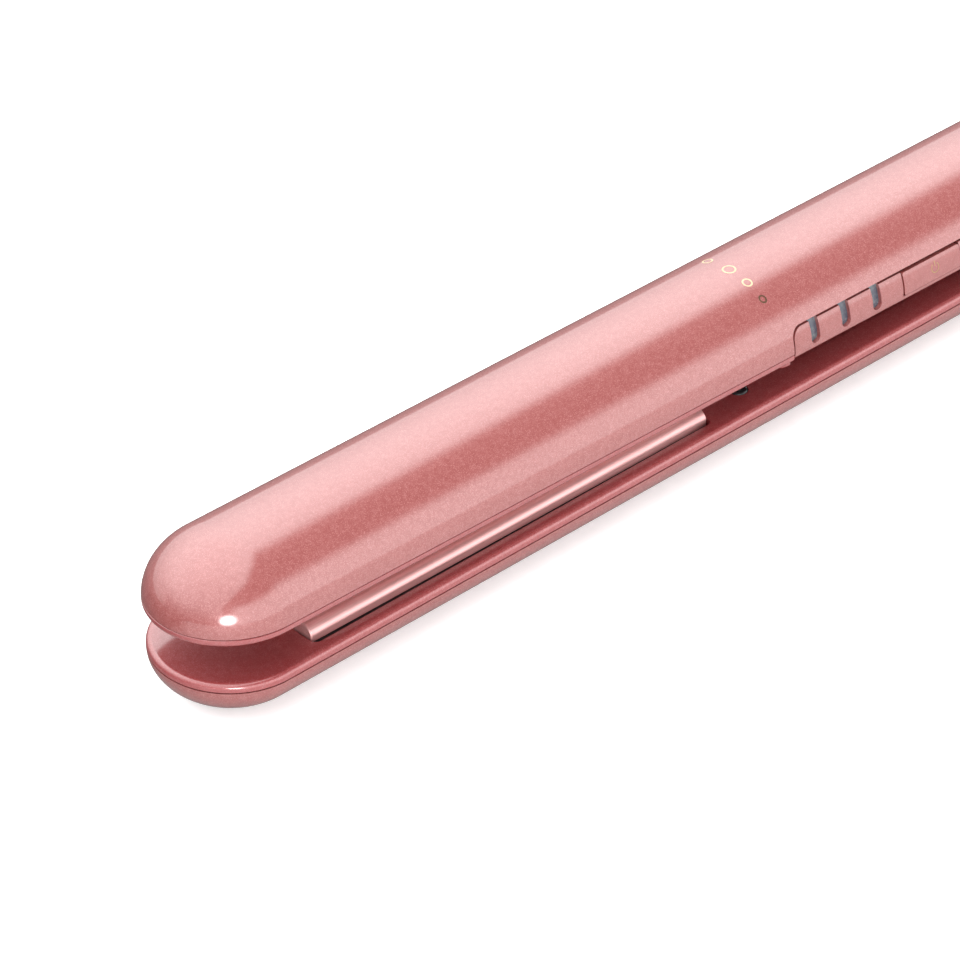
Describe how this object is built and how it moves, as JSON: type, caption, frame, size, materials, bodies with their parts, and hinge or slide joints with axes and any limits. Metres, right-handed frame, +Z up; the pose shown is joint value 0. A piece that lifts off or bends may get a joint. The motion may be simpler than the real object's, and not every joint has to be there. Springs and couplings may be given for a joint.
{
  "type": "hair straightener",
  "caption": "Slim two-armed hair straightener with domed shells, rounded heating plates, side control strip, push button and swivel cord inlet.",
  "frame": {"origin": "middle of the flat resting face under the lower arm", "axes": "+X from the noses to the handle end, +Z up out of the surface it lies on, the controls are on the -Y side"},
  "size_m": [0.2928, 0.033, 0.0356],
  "materials": {
    "shell_paint": "pearlescent rose gold paint with fine flake under a gloss clear coat",
    "trim_paint": "rose gold trim, glossy",
    "plate_metal": "satin rose gold coated aluminium",
    "window_grey": "smoked translucent plastic, glossy",
    "black_rubber": "moulded black rubber",
    "steel": "zinc plated steel",
    "bronze": "sintered bronze",
    "cap_metal": "rose gold anodised aluminium",
    "heater_film": "amber insulating film",
    "carrier_black": "heat resistant moulding",
    "gland_black": "moulded nylon",
    "board_green": "glass fibre circuit board",
    "part_black": "moulded electronic part",
    "led_white": "clear chip light",
    "wire_white": "silicone insulated wire",
    "fuse_metal": "tinned metal can"
  },
  "bodies": {
    "lower_arm": {"lower_outer_shell": "shell_paint", "lower_inner_cover": "shell_paint", "lower_screws": "steel", "inner_bumpers": "black_rubber", "rear_cap": "shell_paint", "hinge_bushes": "bronze", "hinge_spring": "steel", "lower_plate_springs": "steel", "lower_leads": "wire_white"},
    "upper_arm": {"upper_outer_shell": "shell_paint", "upper_inner_cover": "shell_paint", "upper_screws": "steel", "control_strip": "trim_paint", "light_guide": "window_grey", "power_switch": "part_black", "circuit_board": "board_green", "indicator_leds": "led_white", "control_chip": "part_black", "hinge_pin": "steel", "hinge_caps": "cap_metal", "upper_plate_springs": "steel", "upper_leads": "wire_white"},
    "lower_heating_unit": {"lower_plate": "plate_metal", "lower_heater": "heater_film", "lower_heater_clamp": "steel", "lower_carrier": "carrier_black", "lower_thermal_fuse": "fuse_metal"},
    "upper_heating_unit": {"upper_plate": "plate_metal", "upper_heater": "heater_film", "upper_heater_clamp": "steel", "upper_carrier": "carrier_black", "upper_thermal_fuse": "fuse_metal", "upper_thermistor": "fuse_metal"},
    "button": {"power_button": "trim_paint", "switch_plunger": "part_black"},
    "gland": {"cord_gland": "gland_black", "gland_retainer": "steel"}
  },
  "joints": [
    {"name": "arm_hinge", "type": "hinge", "parent": "lower_arm", "child": "upper_arm", "pos_m": [0.122, 0, 0.0137], "axis": [0, 1, 0], "range_deg": [-0.95, 12], "stiffness_Nm_per_rad": 0.6, "springref_deg": 9.34},
    {"name": "lower_plate_float", "type": "slide", "parent": "lower_arm", "child": "lower_heating_unit", "axis": [0, 0, -1], "range_m": [0, 0.0008], "stiffness_N_per_m": 800, "springref_m": -0.002, "deforming": ["lower_plate_springs"]},
    {"name": "upper_plate_float", "type": "slide", "parent": "upper_arm", "child": "upper_heating_unit", "axis": [0.0192, 0, 0.9998], "range_m": [0, 0.0008], "stiffness_N_per_m": 800, "springref_m": -0.002, "deforming": ["upper_plate_springs"]},
    {"name": "power_button_press", "type": "slide", "parent": "upper_arm", "child": "button", "axis": [0, 1, 0], "range_m": [0, 0.0005], "stiffness_N_per_m": 600, "springref_m": -0.0005},
    {"name": "cord_swivel", "type": "hinge", "parent": "lower_arm", "child": "gland", "pos_m": [0.14, 0, 0.00555], "axis": [1, 0, 0], "continuous": true}
  ]
}
